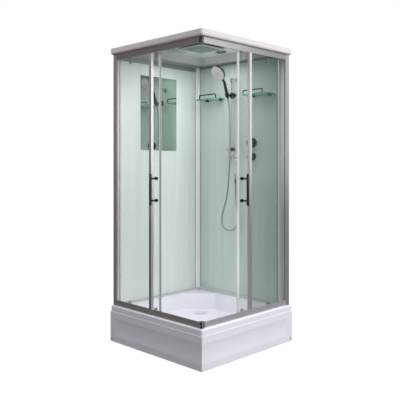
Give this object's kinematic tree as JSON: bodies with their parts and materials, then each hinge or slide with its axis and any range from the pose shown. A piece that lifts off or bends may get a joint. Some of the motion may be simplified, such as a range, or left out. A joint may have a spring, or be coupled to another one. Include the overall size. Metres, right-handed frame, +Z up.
{
  "type": "shower enclosure",
  "caption": "Square corner shower enclosure with deep white tray, apron, two sliding glass doors, roof and shower fittings.",
  "frame": {"origin": "on the floor under the centre of the square plan", "axes": "+Z up; the corner entrance points to +X and -Y, the left glazed side faces -Y, the right glazed side faces +X, and the two closed walls are at -X and +Y"},
  "size_m": [0.9295, 0.9295, 2.128],
  "materials": {
    "white_acrylic": "gloss",
    "white_roof": "gloss",
    "satin_aluminium": "satin",
    "bright_aluminium": "bright",
    "clear_glass": "polished",
    "coated_wall": "polished",
    "mirror_glass": "polished",
    "grey_plastic": "matt",
    "black_plastic": "matt",
    "clear_seal": "satin",
    "dark_gasket": "matt",
    "dark_chrome": "polished",
    "chromed_plastic": "polished",
    "galvanised_steel": "galvanised",
    "drain_plastic": "satin",
    "light_plastic": "satin",
    "clear_plastic": "gloss",
    "raw_brass": "cast",
    "pipe_plastic": "satin",
    "steel_rollers": "satin",
    "hanger_metal": "satin"
  },
  "bodies": {
    "enclosure": {"tray": "white_acrylic", "apron": "white_acrylic", "tray_frame": "galvanised_steel", "adjustable_feet": "galvanised_steel", "apron_fixings": "galvanised_steel", "drain_cover": "bright_aluminium", "drain_trap": "drain_plastic", "wall_post_left": "satin_aluminium", "wall_post_right": "satin_aluminium", "top_rail_left": "satin_aluminium", "top_rail_right": "satin_aluminium", "bottom_rail_left": "satin_aluminium", "bottom_rail_right": "satin_aluminium", "corner_block_top": "black_plastic", "corner_block_bottom": "grey_plastic", "fixed_glass_left": "clear_glass", "fixed_glass_right": "clear_glass", "stile_left": "bright_aluminium", "stile_right": "bright_aluminium", "glazing_gaskets": "dark_gasket", "wall_panel_left": "coated_wall", "wall_panel_right": "coated_wall", "corner_post": "satin_aluminium", "wall_base_rails": "satin_aluminium", "wall_top_trims": "satin_aluminium", "mirror": "mirror_glass", "roof_cover": "white_roof", "ceiling_panel": "white_roof", "rain_plate": "chromed_plastic", "ceiling_light": "light_plastic", "vent_grille": "light_plastic", "riser_rail": "dark_chrome", "riser_brackets": "chromed_plastic", "shower_hose": "chromed_plastic", "outlet_elbow": "dark_chrome", "soap_dish": "clear_plastic", "shelf_glass": "clear_glass", "shelf_fittings": "dark_chrome", "mixer_body": "raw_brass", "mixer_plates": "dark_chrome", "supply_pipes": "pipe_plastic"},
    "left_door": {"door_glass_left": "clear_glass", "door_profiles_left": "bright_aluminium", "door_seal_left": "clear_seal", "door_handle_left": "dark_chrome", "door_roller_mounts_left": "hanger_metal"},
    "left_lead_wheel": {"wheel_lead_left": "steel_rollers"},
    "left_tail_wheel": {"wheel_tail_left": "steel_rollers"},
    "right_door": {"door_glass_right": "clear_glass", "door_profiles_right": "bright_aluminium", "door_seal_right": "clear_seal", "door_handle_right": "dark_chrome", "door_roller_mounts_right": "hanger_metal"},
    "right_lead_wheel": {"wheel_lead_right": "steel_rollers"},
    "right_tail_wheel": {"wheel_tail_right": "steel_rollers"},
    "slider": {"slider": "chromed_plastic"},
    "holder": {"handset_holder": "chromed_plastic", "handset": "chromed_plastic"},
    "temperature_knob": {"mixer_knob": "chromed_plastic"},
    "diverter": {"diverter_knob": "chromed_plastic"}
  },
  "joints": [
    {"name": "left_door_slide", "type": "slide", "parent": "enclosure", "child": "left_door", "axis": [1, 0, 0], "range_m": [-0.008, 0.374]},
    {"name": "right_door_slide", "type": "slide", "parent": "enclosure", "child": "right_door", "axis": [0, -1, 0], "range_m": [-0.03, 0.324]},
    {"name": "left_lead_wheel_spin", "type": "hinge", "parent": "left_door", "child": "left_lead_wheel", "pos_m": [-0.02, -0.415, 2.0233], "axis": [0, 1, 0], "continuous": true},
    {"name": "left_tail_wheel_spin", "type": "hinge", "parent": "left_door", "child": "left_tail_wheel", "pos_m": [-0.297, -0.415, 2.0233], "axis": [0, 1, 0], "continuous": true},
    {"name": "right_lead_wheel_spin", "type": "hinge", "parent": "right_door", "child": "right_lead_wheel", "pos_m": [0.415, -0.03, 2.0233], "axis": [1, 0, 0], "continuous": true},
    {"name": "right_tail_wheel_spin", "type": "hinge", "parent": "right_door", "child": "right_tail_wheel", "pos_m": [0.415, 0.247, 2.0233], "axis": [1, 0, 0], "continuous": true},
    {"name": "slider_slide", "type": "slide", "parent": "enclosure", "child": "slider", "axis": [0, 0, 1], "range_m": [-0.33, 0.05], "deforming": ["shower_hose"]},
    {"name": "holder_tilt", "type": "hinge", "parent": "slider", "child": "holder", "pos_m": [-0.026, 0.326, 1.779], "axis": [1, 0, 0], "range_deg": [-12, 15], "deforming": ["shower_hose"]},
    {"name": "temperature_turn", "type": "hinge", "parent": "enclosure", "child": "temperature_knob", "pos_m": [0.136, 0.387, 1.42], "axis": [0, -1, 0], "range_deg": [-60, 60]},
    {"name": "diverter_turn", "type": "hinge", "parent": "enclosure", "child": "diverter", "pos_m": [0.136, 0.387, 1.315], "axis": [0, -1, 0], "range_deg": [-45, 45]}
  ],
  "couplings": [
    {"joint": "left_lead_wheel_spin", "follows": "left_door_slide", "rad_per_m": 107.53},
    {"joint": "left_tail_wheel_spin", "follows": "left_door_slide", "rad_per_m": 107.53},
    {"joint": "right_lead_wheel_spin", "follows": "right_door_slide", "rad_per_m": 107.53},
    {"joint": "right_tail_wheel_spin", "follows": "right_door_slide", "rad_per_m": 107.53}
  ]
}
